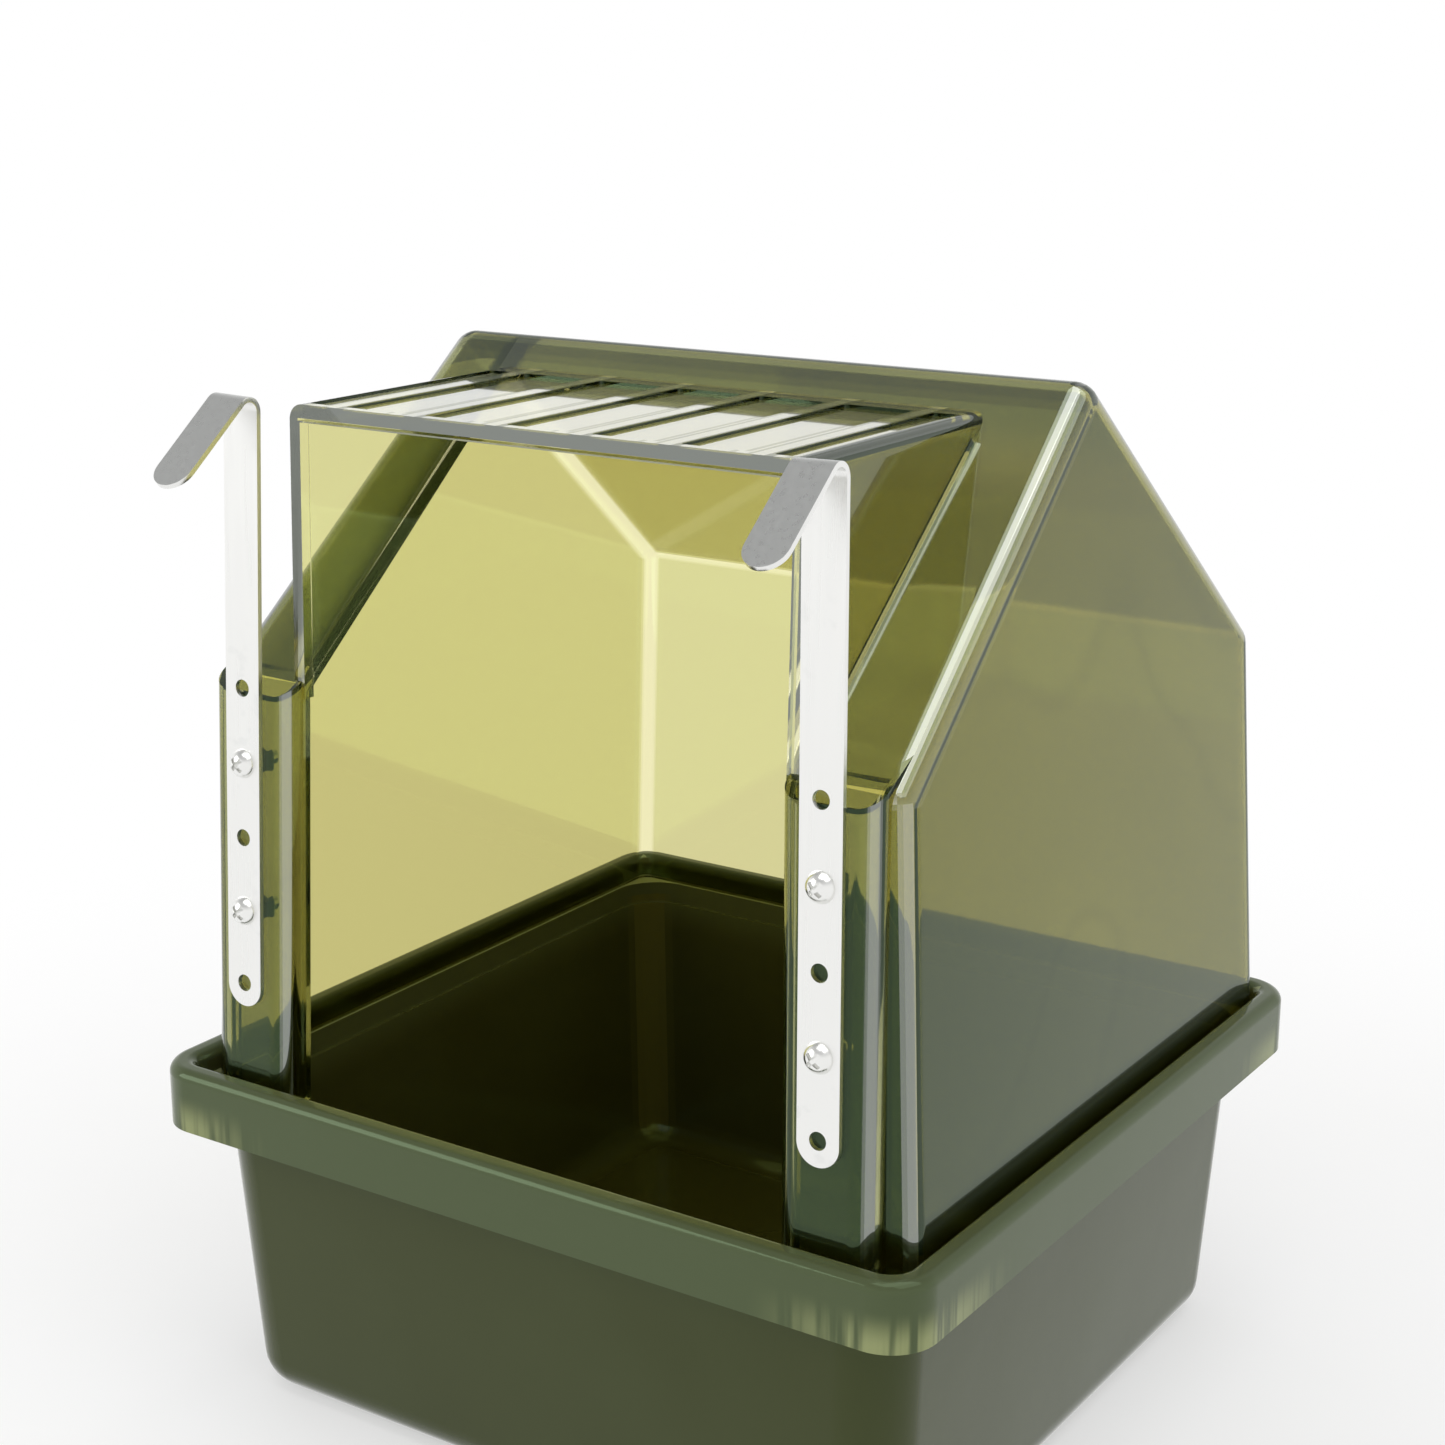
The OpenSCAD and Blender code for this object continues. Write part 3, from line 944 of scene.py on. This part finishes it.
@dataclass(frozen=True)
class DarkPlastic(Finish):
    """Deep olive brown plastic of the tray, polished. Places are in metres."""

    colour: Colour = (0.034, 0.033, 0.007)
    pale: Colour = (0.044, 0.047, 0.015)
    # Painted light on the rim and skirt, paler than the tray's body
    rim: Colour = (0.066, 0.080, 0.038)
    # Painted light on the ledge and the well's upper edge, and a painted highlight on the well's bends
    ledge: Colour = (0.22, 0.24, 0.13)
    step: Colour = (0.062, 0.067, 0.026)
    bend: Colour = (0.075, 0.070, 0.018)
    glow: Colour = (0.26, 0.28, 0.13)
    sheen: Colour = (0.9, 1.3, 0.8)
    sheen_level: float = 0.3
    gloss: float = 0.09
    scuff_gain: float = 0.25
    wave_depth: float = 0.15 * MM
    wave_size: float = 30.0
    # The well's upper edge and the ledge above it, which get painted light, and the bends at the well's
    # corners, which get a painted highlight
    level: Span = (0.6, 0.8)
    step_fade: Span = (0.056, 0.067)
    ledge_foot: float = 0.0675
    bend_turn: Span = (0.2, 0.45)
    bend_top: float = 0.066
    # The rim lies outside this half width and half depth about the tray's middle
    half_width: float = 0.0829
    half_depth: float = 0.0769
    middle_y: float = 0.0025
    rim_foot: float = 0.060
    # Streaks of light at the corners of the skirt's lower edge
    corner_fade: Span = (-0.028, 0.0)
    skirt_fade: Span = (0.069, 0.062)
    streak_scale: Triple = (420.0, 420.0, 25.0)
    streak_span: Span = (0.35, 0.6)

    def make(self, effects: Effects) -> bpy.types.Material:
        """Build the material.

        Args:
            effects: Shared node groups.

        Returns:
            The material.
        """
        material, graph, shader, _ = self.start("dark_plastic")
        at = Surface.read(graph)
        flow = graph.place(effects.flow, {"Size": self.wave_size})
        tint = graph.mix(flow.outputs["Shade"], self.colour, self.pale)
        tint = self.well(graph, at, tint)
        graph.link(self.skirt(graph, at, tint), shader.inputs["Base Color"])
        scuffs = graph.place(effects.scuffs, {})
        rough = graph.line(scuffs.outputs["Mask"], self.scuff_gain, self.gloss)
        graph.link(rough, shader.inputs["Roughness"])
        set_inputs(
            shader,
            {
                "IOR": PLASTIC_IOR,
                "Specular IOR Level": self.sheen_level,
                "Specular Tint": rgba(self.sheen),
            },
        )
        self.bump(graph, flow.outputs["Height"], shader, self.wave_depth)
        return material

    def well(self, graph: Graph, at: Surface, tint: Socket) -> Socket:
        """Paint light on the well's upper edge and the ledge that the house stands on, and a painted
        highlight on the well's bends.

        Args:
            graph: The material's graph.
            at: The surface's sockets.
            tint: Socket of the tint so far.

        Returns:
            Socket of the new tint.
        """
        # Painted light on the well's upper edge and the ledge, and a painted highlight on the bends
        tint = graph.mix(graph.ramp(at.z, self.step_fade), tint, self.step)
        ledge = graph.both(graph.ramp(at.facing_z, self.level), graph.over(at.z, self.ledge_foot))
        tint = graph.mix(ledge, tint, self.ledge)
        turned = graph.ramp(graph.size(graph.both(at.facing_x, at.facing_y)), self.bend_turn)
        inward = graph.under(graph.both(at.facing_x, at.x), 0.0)
        bend = graph.both(turned, graph.under(at.z, self.bend_top), inward)
        return graph.mix(bend, tint, self.bend)

    def skirt(self, graph: Graph, at: Surface, tint: Socket) -> Socket:
        """Paint light on the rim, and streaks of light on the skirt's lower edge where light gathers at the
        corners.

        Args:
            graph: The material's graph.
            at: The surface's sockets.
            tint: Socket of the tint so far.

        Returns:
            Socket of the new tint.
        """
        out_x = graph.math("SUBTRACT", graph.size(at.x), self.half_width)
        from_middle = graph.size(graph.math("SUBTRACT", at.y, self.middle_y))
        out_y = graph.math("SUBTRACT", from_middle, self.half_depth)
        rim = graph.both(graph.over(graph.either(out_x, out_y), 0.0), graph.over(at.z, self.rim_foot))
        # Painted light: the rim paler than the tray's body
        tint = graph.mix(rim, tint, self.rim)
        corner = graph.ramp(graph.math("MINIMUM", out_x, out_y), self.corner_fade)
        low = graph.ramp(at.z, self.skirt_fade)
        streaks = graph.noise(graph.stretch(at.place, self.streak_scale), 1.0)
        gathered = graph.both(corner, low, rim, graph.ramp(streaks, self.streak_span))
        return graph.mix(gathered, tint, self.glow)


@dataclass(frozen=True)
class Zinc(Finish):
    """Bright zinc plate, with grain along the piece."""

    name: str
    colour: Colour = (0.86, 0.86, 0.84)
    dull: Colour = (0.70, 0.71, 0.70)
    # Painted dull reflection on faces that tilt up, and its share
    worked: Colour = (0.5, 0.51, 0.5)
    bent: float = 0.0
    tilt: Span = (0.2, 0.5)
    roughness: float = 0.3
    grain: Triple = (900.0, 900.0, 25.0)
    grain_gain: float = 0.2
    grain_depth: float = 0.02 * MM

    def make(self, effects: Effects) -> bpy.types.Material:
        """Build the material.

        Args:
            effects: Shared node groups.

        Returns:
            The material.
        """
        material, graph, shader, _ = self.start(self.name)
        at = Surface.read(graph)
        grain = graph.noise(graph.stretch(at.place, self.grain), 1.0)
        scuffs = graph.place(effects.scuffs, {})
        tint = graph.mix(scuffs.outputs["Mask"], self.colour, self.dull)
        # Faces that tilt up, such as the hook's tongue, get a painted dull reflection, darker than the
        # upright strip
        tilted = graph.ramp(at.facing_z, self.tilt, (0.0, self.bent))
        graph.link(graph.mix(tilted, tint, self.worked), shader.inputs["Base Color"])
        shader.inputs["Metallic"].default_value = 1.0
        rough = graph.line(grain, self.grain_gain, self.roughness - self.grain_gain / 2)
        graph.link(rough, shader.inputs["Roughness"])
        self.bump(graph, grain, shader, self.grain_depth)
        return material


@dataclass
class Assembly:
    """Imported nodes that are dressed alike."""

    edge_width: float = 0.0
    weld_distance: float = 0.001 * MM

    def dress(self, node: bpy.types.Object, material: bpy.types.Material, effects: Effects) -> None:
        """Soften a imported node, give it one material and report it.

        Args:
            node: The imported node's object.
            material: The node's material.
            effects: Shared node groups.
        """
        self.soften(node, effects)
        node.data.materials.clear()
        node.data.materials.append(material)
        LOG.info("%s dressed", node.name)

    def soften(self, node: bpy.types.Object, effects: Effects) -> None:
        """Join a node's loose triangles, round its sharp edges and shade the rest smoothly.

        Args:
            node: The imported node's object.
            effects: Shared node groups.
        """
        weld = node.modifiers.new("weld", "WELD")
        weld.merge_threshold = self.weld_distance
        if self.edge_width > 0:
            bevel = node.modifiers.new("round_edges", "BEVEL")
            bevel.width = self.edge_width
            bevel.segments = 2
            bevel.limit_method = "ANGLE"
            bevel.angle_limit = effects.edge_angle
            bevel.use_clamp_overlap = True
            bevel.harden_normals = False
        smooth = node.modifiers.new("smooth", "NODES")
        smooth.node_group = effects.smooth
        flat = node.modifiers.new("keep_flats", "WEIGHTED_NORMAL")
        flat.mode = "FACE_AREA"
        flat.weight = 100
        flat.keep_sharp = True


@dataclass
class House(Assembly):
    """The smoked house with its dormer and posts."""

    finish: SmokedPlastic = field(default_factory=SmokedPlastic)

    def build(self, nodes: dict[str, bpy.types.Object], effects: Effects) -> None:
        """Dress the house."""
        self.dress(nodes["house_shell"], self.finish.make(effects), effects)


@dataclass
class Tray(Assembly):
    """The dark tray that the house stands in."""

    finish: DarkPlastic = field(default_factory=DarkPlastic)

    def build(self, nodes: dict[str, bpy.types.Object], effects: Effects) -> None:
        """Dress the tray."""
        self.dress(nodes["tray"], self.finish.make(effects), effects)


@dataclass
class Hangers(Assembly):
    """The two perforated strips."""

    edge_width: float = 0.15 * MM
    # The hook's tilted tongue gets a painted dull reflection
    finish: Zinc = field(default_factory=lambda: Zinc("zinc_strip", bent=0.8))

    def build(self, nodes: dict[str, bpy.types.Object], effects: Effects) -> None:
        """Dress both strips.

        Args:
            nodes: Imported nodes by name.
            effects: Shared node groups.
        """
        material = self.finish.make(effects)
        for side in Side:
            self.dress(nodes[f"hanger_{side.word}"], material, effects)


def bright_hardware() -> Zinc:
    """Bright zinc of the screws, without a grain's direction."""
    return Zinc("zinc_hardware", roughness=0.22, grain=(300.0, 300.0, 300.0))


def dark_hardware() -> Zinc:
    """Dark steel of the nuts."""
    return Zinc("dark_steel", colour=(0.10, 0.10, 0.09), dull=(0.07, 0.07, 0.06), roughness=0.4)


@dataclass
class Hardware(Assembly):
    """Screws and nuts."""

    edge_width: float = 0.1 * MM
    screw_finish: Zinc = field(default_factory=bright_hardware)
    nut_finish: Zinc = field(default_factory=dark_hardware)

    def build(self, nodes: dict[str, bpy.types.Object], effects: Effects) -> None:
        """Dress screws and nuts.

        Args:
            nodes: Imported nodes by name.
            effects: Shared node groups.
        """
        finishes = {"screw": self.screw_finish.make(effects), "nut": self.nut_finish.make(effects)}
        for side in Side:
            for level in Level:
                for kind, material in finishes.items():
                    self.dress(nodes[f"{kind}_{side.word}_{level.word}"], material, effects)


@dataclass(frozen=True)
class Lamp:
    """A soft rectangular lamp. Places and sizes are in metres, power in watts."""

    name: str
    place: Triple
    target: Triple
    size: tuple[float, float]
    power: float

    def build(self) -> None:
        """Hang the lamp so that it faces its target."""
        data = bpy.data.lights.new(self.name, "AREA")
        data.shape = "RECTANGLE"
        data.size, data.size_y = self.size
        data.energy = self.power
        lamp = bpy.data.objects.new(self.name, data)
        lamp.location = self.place
        away = np.subtract(self.target, self.place)
        tilt = math.atan2(math.hypot(away[0], away[1]), -away[2])
        lamp.rotation_euler = Euler((tilt, 0.0, math.atan2(-away[0], away[1])))
        lamp.visible_transmission = False
        bpy.context.collection.objects.link(lamp)


# One lamp overhead, a weaker one on its right and a large one at the front on the left
LAMPS = (
    Lamp("overhead", place=(0.06, -0.08, 1.20), target=(-0.36, 0.0, 0.15), size=(1.0, 0.64), power=3.8),
    Lamp("right", place=(0.72, -0.08, 1.20), target=(0.30, 0.0, 0.15), size=(1.0, 0.68), power=2.8),
    Lamp("fill", place=(-1.3, -1.3, 0.9), target=(0.0, 0.0, 0.1), size=(1.0, 1.0), power=10.0),
)


@dataclass
class Floor(Finish):
    """A flat sheet of pale paper under the tray. Sizes are in metres."""

    size: float = 12.0
    colour: Colour = (0.93, 0.93, 0.93)
    speck_shade: float = 0.985
    speck_scale: float = 60.0
    roughness: float = 0.9
    sheen_level: float = 0.1
    # Distance over which the sheet goes over to plain white, and the share of white next to the box
    white_span: Span = (0.16, 0.42)
    white_share: Span = (0.5, 1.0)

    def build(self) -> None:
        """Lay the sheet: one square face about the origin."""
        half = self.size / 2
        grid = half * np.array([[-1, -1, 0], [1, -1, 0], [1, 1, 0], [-1, 1, 0]])
        mesh = bpy.data.meshes.new("floor")
        mesh.from_pydata(grid.tolist(), [], [(0, 1, 2, 3)])
        mesh.materials.append(self.make())
        sheet = bpy.data.objects.new("floor", mesh)
        bpy.context.collection.objects.link(sheet)

    def make(self) -> bpy.types.Material:
        """Build the paper's material.

        Returns:
            The material, which is plain white away from the box, in gloss and through plastic.
        """
        material, graph, shader, output = self.start("floor_paper")
        place = graph.object_place()
        speck = tuple(self.speck_shade * part for part in self.colour)
        tint = graph.mix(graph.noise(place, self.speck_scale), speck, self.colour)
        graph.link(tint, shader.inputs["Base Color"])
        set_inputs(shader, {"Roughness": self.roughness, "Specular IOR Level": self.sheen_level})
        far = graph.ramp(graph.vector("LENGTH", place), self.white_span)
        path = graph.add("ShaderNodeLightPath").outputs
        seen = graph.both(graph.ramp(far, RISING, self.white_share), path["Is Camera Ray"])
        seen = graph.either(seen, path["Is Transmission Ray"], path["Is Glossy Ray"])
        white = graph.add("ShaderNodeEmission")
        set_inputs(white, {"Color": rgba(WHITE), "Strength": 1.0})
        self.blend(graph, seen, (shader.outputs["BSDF"], white.outputs["Emission"]), output)
        return material


@dataclass
class Studio:
    """Pale floor, soft light and the camera. Places are in metres, the lens in millimetres."""

    eye: Triple = (0.2741, -0.42045, 0.2790)
    azimuth: float = math.radians(33.63)
    elevation: float = math.radians(15.55)
    lens: float = 63.65
    sensor: float = 36.0
    near_limit: float = 0.01
    zenith: Colour = (0.5, 0.5, 0.5)
    dome_span: Span = (0.15, 0.9)

    def build(self) -> None:
        """Set up view, world, floor, lamps and camera."""
        scene = bpy.context.scene
        scene.view_settings.view_transform = "Standard"
        self.world(scene)
        Floor().build()
        for lamp in LAMPS:
            lamp.build()
        self.camera(scene)
        LOG.info("studio set")

    def world(self, scene: bpy.types.Scene) -> None:
        """White all round for what is seen, with a greyer ceiling for light and gloss.

        Args:
            scene: The scene that gets the world.
        """
        world = bpy.data.worlds.new("studio")
        scene.world = world
        world.use_nodes = True
        graph = Graph(world.node_tree)
        background = next(n for n in world.node_tree.nodes if n.type == "BACKGROUND")
        height = graph.split(graph.add("ShaderNodeTexCoord").outputs["Generated"])[2]
        dome = graph.mix(graph.ramp(height, self.dome_span), WHITE, self.zenith)
        path = graph.add("ShaderNodeLightPath").outputs
        seen = graph.either(path["Is Camera Ray"], path["Is Transmission Ray"])
        graph.link(graph.mix(seen, dome, WHITE), background.inputs["Color"])
        background.inputs["Strength"].default_value = 1.0

    def camera(self, scene: bpy.types.Scene) -> None:
        """Stand where the photograph was taken.

        Args:
            scene: The scene that gets the camera.
        """
        data = bpy.data.cameras.new("view")
        data.lens = self.lens
        data.sensor_width = self.sensor
        data.clip_start = self.near_limit
        camera = bpy.data.objects.new("view", data)
        camera.location = self.eye
        camera.rotation_euler = Euler((math.pi / 2 - self.elevation, 0.0, self.azimuth))
        bpy.context.collection.objects.link(camera)
        scene.camera = camera


def main() -> None:
    """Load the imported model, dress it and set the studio."""
    logging.basicConfig(level=logging.INFO, format="%(message)s")
    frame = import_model()
    effects = Effects()
    nodes = frame["nodes"]
    for part in (House(), Tray(), Hangers(), Hardware()):
        part.build(nodes, effects)
    Studio().build()


if __name__ == "__main__":
    main()
